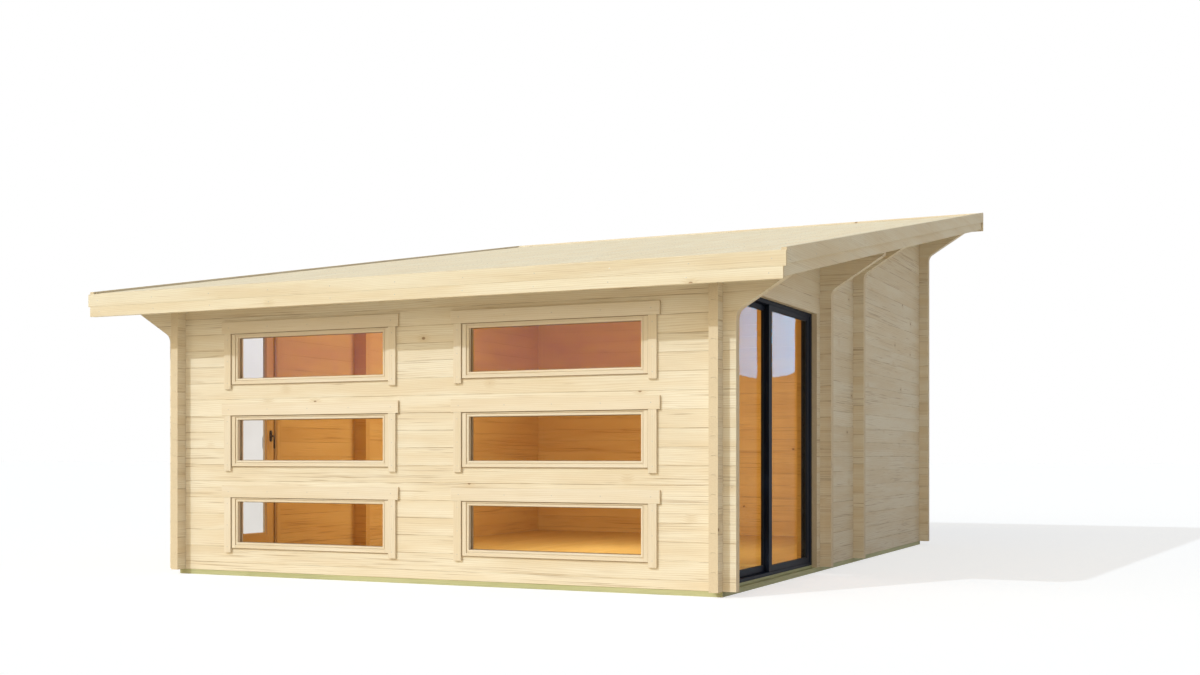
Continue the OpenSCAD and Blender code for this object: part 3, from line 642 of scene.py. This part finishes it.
def roof_boarding():
    """Boards that run down the slope, jointed over the two cross beams in turn."""
    low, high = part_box("roof_boards")
    front = edge_heights("roof_boards", low.y)
    back = edge_heights("roof_boards", high.y)
    thick = front[1] - front[0]
    slope = (back[0] - front[0]) / (high.y - low.y)
    joints = [sum((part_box(n)[0].y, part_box(n)[1].y)) / 2 for n in ("front_cross_beam", "rear_cross_beam")]
    count = round((high.x - low.x) / ROOF_BOARD)
    pitch = (high.x - low.x) / count
    section = board_section(pitch - BOARD_GAP, thick, BOARD_GROOVE)
    maker = Maker()
    for i in range(count):
        x = low.x + pitch * (i + 0.5)
        joint = joints[i % 2]
        for ends in ((low.y, joint - BOARD_GAP / 2), (joint + BOARD_GAP / 2, high.y)):
            maker.loops([[(x + across, y, front[0] + slope * (y - low.y) + rise) for across, rise in section]
                         for y in ends])
    maker.build("roof_boarding", [roof_wood_painted_light], "cabin", ("roof_boards",))
    rows = sorted([(b[0].y + b[1].y) / 2 for b in solids("purlins")] + joints)
    nails = Maker()
    up = Vector((0, -slope, 1)).normalized()
    for i in range(count):
        for y in rows:
            for step in (-NAIL_STEP, NAIL_STEP):
                x = low.x + pitch * (i + 0.5) + step
                z = front[1] + slope * (y - low.y)
                nails.stud((x, y + rng.uniform(-NAIL_STRAY, NAIL_STRAY), z), up, *NAIL, sides=8)
    nails.build("roof_nails", [screw], "cabin", smooth=True)


def floor_boarding():
    """Boards along the room, notched round the cross logs and run out under the sliding door."""
    low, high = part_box("floor_boards")
    room = -low.x
    lines = [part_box("right_front_cross_logs"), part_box("right_rear_cross_logs")]
    inner = lines[0][0].x - FLOOR_ROOM
    strips = []
    edge = (room - inner) / 2
    count = round(2 * inner / FLOOR_BOARD)
    for i in range(2):
        strips.append((-room + edge * i, -room + edge * (i + 1), True))
        strips.append((room - edge * (i + 1), room - edge * i, True))
    pitch = 2 * inner / count
    for i in range(count):
        strips.append((-inner + pitch * i, -inner + pitch * (i + 1), False))
    joists = [(b[0].y + b[1].y) / 2 for b in sorted(solids("floor_joists"), key=lambda b: b[0].y)]
    maker = Maker()
    for k, (x0, x1, notched) in enumerate(strips):
        cuts = [low.y]
        for line in lines if notched else ():
            cuts += [line[0].y - FLOOR_ROOM, line[1].y + FLOOR_ROOM]
        if not notched:
            joint = joists[(2, 4, 3)[k % 3]]
            cuts += [joint - BOARD_GAP / 2, joint + BOARD_GAP / 2]
        cuts.append(high.y)
        left, right = x0 + BOARD_GAP / 2, x1 - BOARD_GAP / 2
        section = [(left, low.z), (right, low.z), (right, high.z - FLOOR_EASE), (right - FLOOR_EASE, high.z),
                   (left + FLOOR_EASE, high.z), (left, high.z - FLOOR_EASE)]
        for y0, y1 in zip(cuts[0::2], cuts[1::2]):
            maker.loops([[(p[0], y, p[1]) for p in section] for y in (y0, y1)])
    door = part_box("sliding_door_frame")
    sill = ((room, low.z), (high.x, low.z), (high.x, high.z), (room, high.z))
    maker.loops([[(x, y, z) for x, z in sill] for y in (door[0].y, door[1].y)], material=1)
    maker.build("floor_boarding", [floor_wood, sill_wood], "cabin", ("floor_boards",))


def gaskets(name, node, across, width, body, material):
    """A thin soft ring on both sides of each pane."""
    soft_rings = Maker()
    for low, high in solids(node):
        for near, sign in ((low[across], -1), (high[across], 1)):
            profile = ((0.0, SEAL_LIFT), (0.0, SEAL_RISE), (width * 0.6, SEAL_FALL), (width, SEAL_LIFT))
            soft_rings.frame_ring(low, high, across, [(inset, near + sign * rise) for inset, rise in profile], (0, 0))
    soft_rings.build(name + "_seals", [material], body)


def window_beads():
    """Slim moulded beads that lie on the step of each window frame, a groove's width from its face."""
    for side in ("left", "right"):
        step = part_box(side + "_window_frames")[0].y + STEP_DEPTH
        wooden = Maker()
        for low, high in solids(side + "_window_glass"):
            wooden.frame_ring(low, high, 1,
                              [(-BEAD_W, step - 0.0001), (-BEAD_W, step - BEAD_RISE * 0.6),
                               (-BEAD_W * 0.85, step - BEAD_RISE), (-BEAD_W * 0.40, step - BEAD_RISE),
                               (-BEAD_W * 0.12, step - BEAD_RISE * 0.55), (-0.0004, step - 0.0001)], (0, 1))
        wooden.build(side + "_window_beads", [joinery[0], joinery[2]], "cabin")
        # A dark brown ring on each frame next to its casing, where the casing's shadow falls: painted shadow
        joints = Maker()
        bars = solids(side + "_window_frames")
        for low, high in solids(side + "_window_glass"):
            near = [b for b in bars if all(b[0][i] < high[i] + SHADOW_LINE_REACH[i] and b[1][i] > low[i] - SHADOW_LINE_REACH[i]
                                           for i in range(3))]
            outer = [Vector([pick(b[k][i] for b in near) for i in range(3)]) for k, pick in ((0, min), (1, max))]
            profile = ((0.0, 0.0002), (0.0, 0.0015), (SHADOW_LINE_W * 0.7, 0.0011), (SHADOW_LINE_W, 0.0002))
            joints.frame_ring(*outer, 1, [(inset, outer[0].y - rise) for inset, rise in profile], (0, 0))
        joints.build(side + "_window_painted_shadow", [sealant_and_painted_shadow], "cabin")
        # Brown seals round the glass, dark so that they also draw the shadow line at the glass's edge: part seal,
        # part painted shadow
        gaskets(side + "_window", side + "_window_glass", 1, WINDOW_SEAL_W, "cabin", sealant_and_painted_shadow)


def door_beads():
    """Moulded beads round the pane of the hinged door, and seals round the panes of the sliding door."""
    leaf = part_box("entrance_leaf")
    wooden = Maker()
    for low, high in solids("entrance_glass"):
        for near, face in ((low.x, leaf[0].x + DOOR_BEAD_SET), (high.x, leaf[1].x - DOOR_BEAD_SET)):
            sign = 1 if face > near else -1
            wooden.frame_ring(low, high, 0,
                              [(0.0, near + sign * DOOR_BEAD_LIFT), (0.0, face), (DOOR_BEAD_W * 0.45, face),
                               (DOOR_BEAD_W * 0.80, face - sign * 0.002), (DOOR_BEAD_W, face - sign * 0.006),
                               (DOOR_BEAD_W, near + sign * DOOR_BEAD_LIFT)], (0, 1))
    wooden.build("entrance_beads", [joinery[1], joinery[2]], "entrance_door")
    for panel, body in (("fixed_panel", "cabin"), ("sliding_panel", "sliding_panel")):
        gaskets(panel, panel + "_glass", 0, DOOR_SEAL_W, body, seal)


def pull_bars():
    """Round pull bars on two posts with a rosette under each, inside and outside the sliding panel."""
    maker = Maker()
    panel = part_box("sliding_panel")
    for low, high in solids("sliding_panel_handles"):
        outside = low.x > panel[1].x - FACE_REACH
        face, out = (panel[1].x, 1) if outside else (panel[0].x, -1)
        radius = (high.y - low.y) / 2
        y = (low.y + high.y) / 2
        bar_x = (high.x - radius) if outside else (low.x + radius)
        height = high.z - low.z
        maker.tube([(bar_x, y, low.z), (bar_x, y, high.z)], radius, sides=20)
        for share in (1 / 6, 5 / 6):
            z = low.z + height * share
            maker.tube([(face + out * 0.001, y, z), (bar_x, y, z)], radius * 0.72, sides=16, dome=False)
            rosette = ((0.0, 1.5), (0.002, 1.5), (0.0032, 1.38), (0.0036, 0.8))
            maker.turned((face + out * 0.0004, y, z), (out, 0, 0), [(rise, radius * wide) for rise, wide in rosette])
    maker.build("sliding_pull_bars", [black], "sliding_panel", ("sliding_panel_handles",),
                smooth=True)


def lever_sets():
    """Levers bent from round bar that hang from oval plates, on both faces of the hinged door."""
    maker = Maker()
    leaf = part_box("entrance_leaf")
    half = PLATE_W / 2
    straight = PLATE_H / 2 - half
    turns = [math.tau * (k + 0.5) / 32 for k in range(32)]
    for low, high in solids("entrance_handles"):
        outside = high.x < leaf[0].x + FACE_REACH
        face, out = (leaf[0].x, -1) if outside else (leaf[1].x, 1)
        reach = abs((low.x if outside else high.x) - face) - LEVER_R
        y = (low.y + high.y) / 2
        z = high.z - PLATE_H / 2
        rings = []
        for depth, radius in ((0.0003, half), (PLATE_T * 0.7, half), (PLATE_T * 0.93, half - 0.0008),
                              (PLATE_T, half - 0.0025)):
            rings.append([(face + out * depth, y + radius * math.cos(t),
                           z + math.copysign(straight, math.sin(t)) + radius * math.sin(t)) for t in turns])
        maker.loops(rings)
        maker.turned((face + out * PLATE_T * 0.9, y, z), (out, 0, 0),
                     [(0.0, 0.0130), (0.004, 0.0130), (0.006, 0.0115), (0.007, 0.0090)])
        bend = LEVER_R * 1.6
        path = [(face + out * PLATE_T, y, z), (face + out * (reach - bend), y, z)]
        for k in range(1, 9):
            turn = math.pi / 2 * k / 8
            path.append((face + out * (reach - bend + bend * math.sin(turn)), y, z - bend + bend * math.cos(turn)))
        path.append((face + out * reach, y, low.z))
        maker.tube(path, LEVER_R * 0.92, sides=18)
        for side in (-1, 1):
            maker.stud((face + out * PLATE_T, y, z + side * straight), (out, 0, 0), *PLATE_SCREW, material=1)
    maker.build("entrance_lever_sets", [bronze, screw], "entrance_door", ("entrance_handles",),
                smooth=True)


def hinge_fittings():
    """Domed pin ends and screw heads on both halves of each hinge."""
    for node, body, side in (("entrance_frame_hinges", "cabin", -1), ("entrance_leaf_hinges", "entrance_door", 1)):
        maker = Maker()
        for low, high in solids(node):
            y, edge = (high.y - KNUCKLE_R, low.y) if side < 0 else (low.y + KNUCKLE_R, high.y)
            tip = low.z if side < 0 else high.z
            maker.turned((low.x + KNUCKLE_R, y, tip), (0, 0, side),
                         [(-0.001, 0.0066), (0.0015, 0.0066), (0.003, 0.0054), (0.0042, 0.003)])
            for share in (0.25, 0.75):
                spot = (high.x - HINGE_PLATE_T, edge - side * HINGE_SCREW_IN, low.z + (high.z - low.z) * share)
                maker.stud(spot, (-1, 0, 0), *HINGE_SCREW, material=1)
        maker.build(node + "_fittings", [black, screw], body, smooth=True)


def spread(low, high, margin, count):
    """Evenly spaced places between two ends, a margin in from both."""
    return [low + margin + (high - low - 2 * margin) * i / (count - 1) for i in range(count)]


def screws():
    """Screw heads in the casings, fascias and bargeboards."""
    heads = Maker()
    for node in ("left_window_casing", "right_window_casing"):
        for low, high in solids(node):
            middle = (low + high) / 2
            if high.z - low.z > high.x - low.x:
                spots = [(middle.x, z) for z in spread(low.z, high.z, 0.05, 3)]
            else:
                spots = [(x, middle.z) for x in spread(low.x, high.x, 0.07, 5)]
            for x, z in spots:
                heads.stud((x, low.y, z), (0, -1, 0), *CASING_SCREW)
    for node, out in (("front_fascia_strip", -1), ("back_fascia_strip", 1)):
        for low, high in solids(node):
            y = low.y if out < 0 else high.y
            rows = 1 if high.z - low.z < WIDE_BOARD else 3
            for x in spread(low.x, high.x, 0.10, 11):
                for row in range(rows):
                    z = low.z + (high.z - low.z) * (row + 0.5) / rows
                    heads.stud((x, y, z), (0, out, 0), *TRIM_SCREW)
    for node, out in (("left_bargeboard_strip", -1), ("right_bargeboard_strip", 1)):
        low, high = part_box(node)
        x = low.x if out < 0 else high.x
        front = edge_heights(node, low.y)
        back = edge_heights(node, high.y)
        for y in spread(low.y, high.y, 0.08, 13):
            share = (y - low.y) / (high.y - low.y)
            base, top = [front[k] + (back[k] - front[k]) * share for k in range(2)]
            for z in (base + BARGE_SCREW_IN, top - BARGE_SCREW_IN):
                heads.stud((x, y, z), (out, 0, 0), *TRIM_SCREW)
    first, step = DOOR_CASING_SCREWS
    for low, high in solids("entrance_casing"):
        middle = (low + high) / 2
        if high.z - low.z > high.y - low.y:
            spots = [(middle.y, low.z + first + step * i) for i in range(4)]
        else:
            spots = [(y, middle.z) for y in spread(low.y, high.y, 0.08, 3)]
        for y, z in spots:
            heads.stud((low.x, y, z), (-1, 0, 0), *CASING_SCREW)
    heads.build("trim_screws", [screw], "cabin", smooth=True)


roof_boarding()
floor_boarding()
window_beads()
door_beads()
screws()
pull_bars()
lever_sets()
hinge_fittings()


# Light, floor and camera
def background_rays(tree):
    """One for rays from the camera, mirrors and glass, which see the plain white background."""
    path = tree.nodes.new("ShaderNodeLightPath")
    seen = path.outputs["Is Camera Ray"]
    for name in ("Is Glossy Ray", "Is Transmission Ray"):
        either = tree.nodes.new("ShaderNodeMath")
        either.operation = "MAXIMUM"
        tree.links.new(seen, either.inputs[0])
        tree.links.new(path.outputs[name], either.inputs[1])
        seen = either.outputs[0]
    return seen


def shader(tree, kind, colour, strength=None):
    """A plain shader node of one colour."""
    node = tree.nodes.new(kind)
    node.inputs["Color"].default_value = (*colour, 1.0)
    if strength is not None:
        node.inputs["Strength"].default_value = strength
    return node


def felt_or_seen(tree, felt, seen, output):
    """Ends a tree with one shader for the light that is felt and another for the background that is seen."""
    mixed = tree.nodes.new("ShaderNodeMixShader")
    for socket, value in zip(mixed.inputs, (background_rays(tree), felt.outputs[0], seen.outputs[0])):
        tree.links.new(value, socket)
    tree.links.new(mixed.outputs[0], tree.nodes.new(output).inputs["Surface"])


def stage_floor():
    """White floor that keeps the shadow of the object."""
    material = bpy.data.materials.new("stage_floor")
    material.use_nodes = True
    tree = material.node_tree
    tree.nodes.clear()
    shade = shader(tree, "ShaderNodeBsdfDiffuse", FLOOR_SHADE)
    glow = shader(tree, "ShaderNodeEmission", WHITE, FLOOR_GLOW)
    white = tree.nodes.new("ShaderNodeAddShader")
    tree.links.new(shade.outputs[0], white.inputs[0])
    tree.links.new(glow.outputs[0], white.inputs[1])
    felt_or_seen(tree, shader(tree, "ShaderNodeBsdfDiffuse", FLOOR_COLOUR), white, "ShaderNodeOutputMaterial")
    half = FLOOR_SIZE / 2
    data = bpy.data.meshes.new("stage_floor")
    data.from_pydata([(-half, -half, 0), (half, -half, 0), (half, half, 0), (-half, half, 0)], [], [(0, 1, 2, 3)])
    data.materials.append(material)
    made = added("stage_floor", data)
    made.location.z = cad_box[0][2] - FLOOR_DROP


def sky():
    """Pale light from all round, in front of a white background."""
    world = bpy.data.worlds.new("sky")
    world.use_nodes = True
    bpy.context.scene.world = world
    tree = world.node_tree
    tree.nodes.clear()
    soft = shader(tree, "ShaderNodeBackground", SKY_COLOUR, SKY_STRENGTH)
    felt_or_seen(tree, soft, shader(tree, "ShaderNodeBackground", WHITE, 1.0), "ShaderNodeOutputWorld")


def lamp(name, kind, power, colour=WHITE):
    """A lamp and its object."""
    light = bpy.data.lights.new(name, kind)
    light.energy = power
    light.color = colour
    return light, added(name, light)


def turned_from(direction):
    """The turn of a lamp that shines from a direction."""
    return Vector(direction).to_track_quat("Z", "Y").to_euler()


def sun(name, come_from, strength, angle, colour):
    """Light from far away, hard or broad by its angle."""
    light, made = lamp(name, "SUN", strength, colour)
    light.angle = angle
    made.rotation_euler = turned_from(come_from)


def room_lamp(name, share, power):
    """A soft lamp at a share of the room's depth, which is felt on the walls and not seen itself."""
    light, made = lamp(name, "POINT", power)
    light.shadow_soft_size = ROOM_LAMP_SIZE
    low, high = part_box("floor_boards")
    made.location = (0.0, low.y + (high.y - low.y) * share, ROOM_LAMP_HEIGHT)
    made.visible_camera = False
    made.visible_glossy = False
    made.visible_transmission = False


def sky_patch(name, shape, place, aim, size, power, colour):
    """A far patch of blue sky, which the panes mirror and nothing else feels."""
    light, made = lamp(name, "AREA", power, colour)
    light.shape = shape
    light.size, light.size_y = size
    made.location = place
    made.rotation_euler = turned_from(Vector(place) - Vector(aim))
    made.visible_camera = False
    made.visible_diffuse = False
    made.visible_transmission = False
    made.light_linking.receiver_collection = panes


def camera():
    """The photograph's viewpoint."""
    data = bpy.data.cameras.new("camera")
    data.sensor_width = SENSOR
    data.lens = CAMERA_LENS
    data.shift_y = CAMERA_SHIFT_Y
    data.clip_end = FLOOR_SIZE
    made = added("camera", data)
    made.location = CAMERA_PLACE
    made.rotation_euler = Euler((math.radians(90), 0.0, math.radians(CAMERA_TURN)))
    bpy.context.scene.camera = made


stage_floor()
sky()
sun("sun", SUN_FROM, SUN_STRENGTH, SUN_ANGLE, SUN_COLOUR)
sun("front_fill", FILL_FROM, FILL_STRENGTH, FILL_ANGLE, FILL_COLOUR)
for name, (share, power) in ROOM_LAMPS.items():
    room_lamp(name, share, power)
panes = bpy.data.collections.new("panes")
for node in WINDOW_PANES + DOOR_PANES:
    panes.objects.link(nodes[node])
sky_patch("door_sky", "ELLIPSE", **DOOR_SKY)
sky_patch("front_sky", "RECTANGLE", **FRONT_SKY)
camera()
bpy.context.scene.view_settings.view_transform = "Standard"
